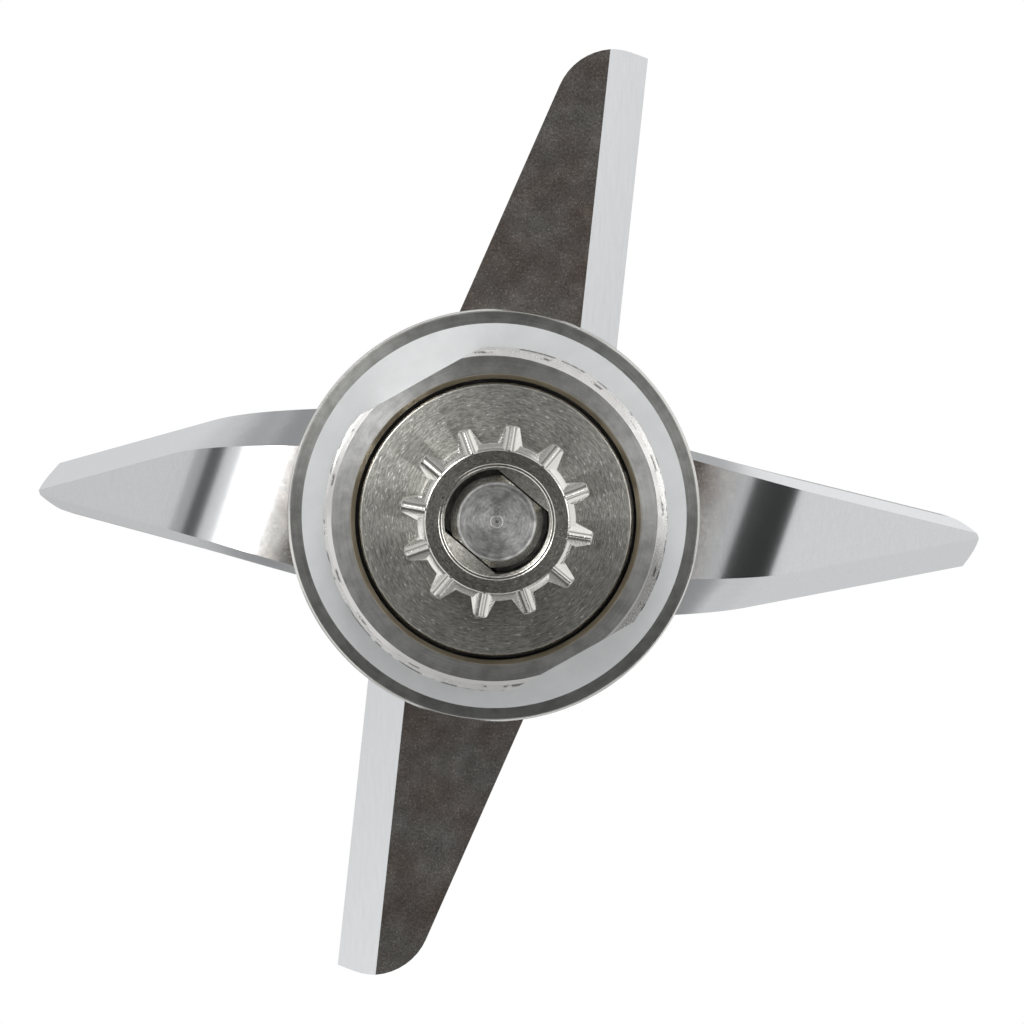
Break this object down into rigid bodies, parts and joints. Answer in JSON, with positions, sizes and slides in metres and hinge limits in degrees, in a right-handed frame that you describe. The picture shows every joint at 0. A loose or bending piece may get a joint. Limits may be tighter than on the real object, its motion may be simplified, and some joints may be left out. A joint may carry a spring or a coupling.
{
  "type": "blender blade assembly",
  "caption": "Blender blade assembly: a cross-shaped cutter with flat and upswept wings on a ball-bearing spindle, in a flanged, threaded housing with a toothed drive spline.",
  "frame": {"origin": "on the shaft's axis, in the plane of the gasket's lower face, where the jar's floor meets it", "axes": "+Z along the shaft, up to the blade; seen from below as in the picture, +X points right and +Y points down the picture"},
  "size_m": [0.0825, 0.0774, 0.0675],
  "materials": {
    "housing_steel": "turned",
    "white_gasket": "matte",
    "spring_steel": "dark oxide",
    "bearing_steel": "polished",
    "bearing_cage": "moulded",
    "shield_steel": "pressed",
    "spacer_aluminium": "turned",
    "seal_rubber": "moulded",
    "shaft_steel": "turned",
    "spline_steel": "turned and milled",
    "blade_steel": "tumbled, with ground bevels",
    "nut_steel": "polished"
  },
  "bodies": {
    "housing": {"bearing_housing": "housing_steel", "flange_gasket": "white_gasket", "retaining_ring": "spring_steel", "preload_washer": "spring_steel", "lower_bearing_outer_ring": "bearing_steel", "lower_bearing_bottom_shield": "shield_steel", "lower_bearing_top_shield": "shield_steel", "upper_bearing_outer_ring": "bearing_steel", "upper_bearing_bottom_shield": "shield_steel", "upper_bearing_top_shield": "shield_steel", "bearing_outer_spacer": "spacer_aluminium", "shaft_seal_case": "shield_steel", "shaft_seal_lip": "seal_rubber"},
    "rotor": {"drive_shaft": "shaft_steel", "drive_spline": "spline_steel", "lower_bearing_inner_ring": "bearing_steel", "upper_bearing_inner_ring": "bearing_steel", "bearing_inner_spacer": "spacer_aluminium", "blade_collar": "shaft_steel", "cutter_blade": "blade_steel", "blade_washer": "shaft_steel", "cap_nut": "nut_steel"},
    "lower_ball_train": {"lower_bearing_balls": "bearing_steel", "lower_bearing_cage": "bearing_cage"},
    "upper_ball_train": {"upper_bearing_balls": "bearing_steel", "upper_bearing_cage": "bearing_cage"}
  },
  "joints": [
    {"name": "rotor_spin", "type": "hinge", "parent": "housing", "child": "rotor", "pos_m": [0, 0, 0], "axis": [0, 0, 1], "continuous": true},
    {"name": "lower_ball_train_spin", "type": "hinge", "parent": "housing", "child": "lower_ball_train", "pos_m": [0, 0, -0.0066], "axis": [0, 0, 1], "continuous": true},
    {"name": "upper_ball_train_spin", "type": "hinge", "parent": "housing", "child": "upper_ball_train", "pos_m": [0, 0, 0.0024], "axis": [0, 0, 1], "continuous": true}
  ],
  "couplings": [
    {"joint": "lower_ball_train_spin", "follows": "rotor_spin", "ratio": 0.3677},
    {"joint": "upper_ball_train_spin", "follows": "rotor_spin", "ratio": 0.3677}
  ]
}
